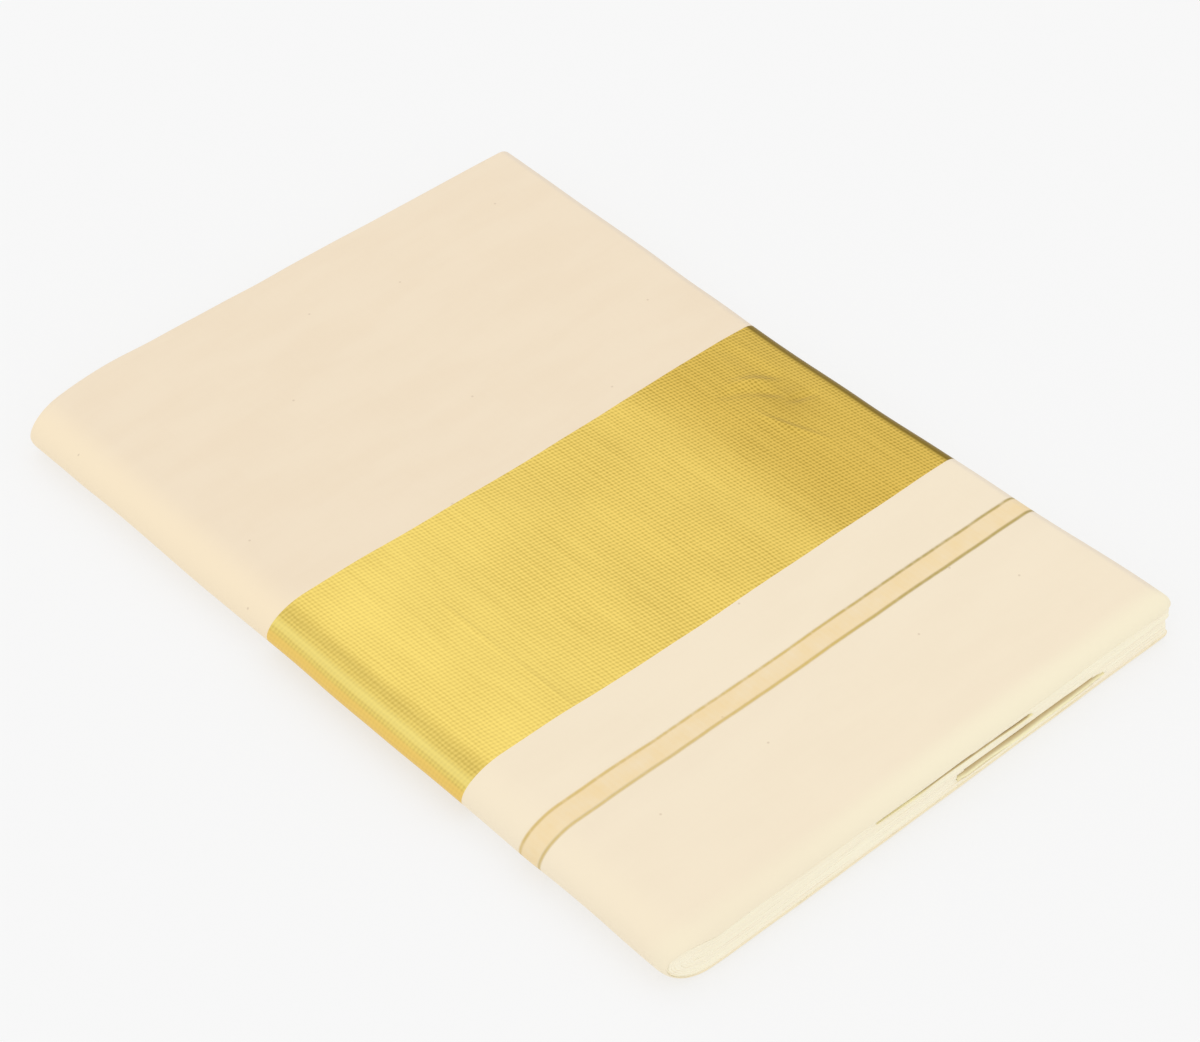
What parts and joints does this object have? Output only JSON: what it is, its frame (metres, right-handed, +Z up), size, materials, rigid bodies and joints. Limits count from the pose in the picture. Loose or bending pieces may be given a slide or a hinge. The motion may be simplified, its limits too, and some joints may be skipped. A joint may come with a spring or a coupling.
{
  "type": "folded saree",
  "caption": "Folded cream cotton saree lying flat as a rectangular pad, with a woven gold band and fine gold lines round its spine fold.",
  "frame": {"origin": "middle of the footprint, on the surface that the pad lies on", "axes": "+X across the short side, away from the round spine fold; +Y along the long side, away from the layered front end; +Z up"},
  "size_m": [0.284, 0.4194, 0.0232],
  "materials": {
    "cream_cotton": "matte",
    "gold_weave": "satin"
  },
  "bodies": {
    "root": {"hidden_layers": "cream_cotton", "back_stretch": "cream_cotton", "gold_band_stretch": "gold_weave", "middle_stretch": "cream_cotton", "lined_stretch": "cream_cotton", "front_stretch": "cream_cotton", "upper_border_fold": "gold_weave", "lower_border_fold": "gold_weave"}
  },
  "joints": []
}
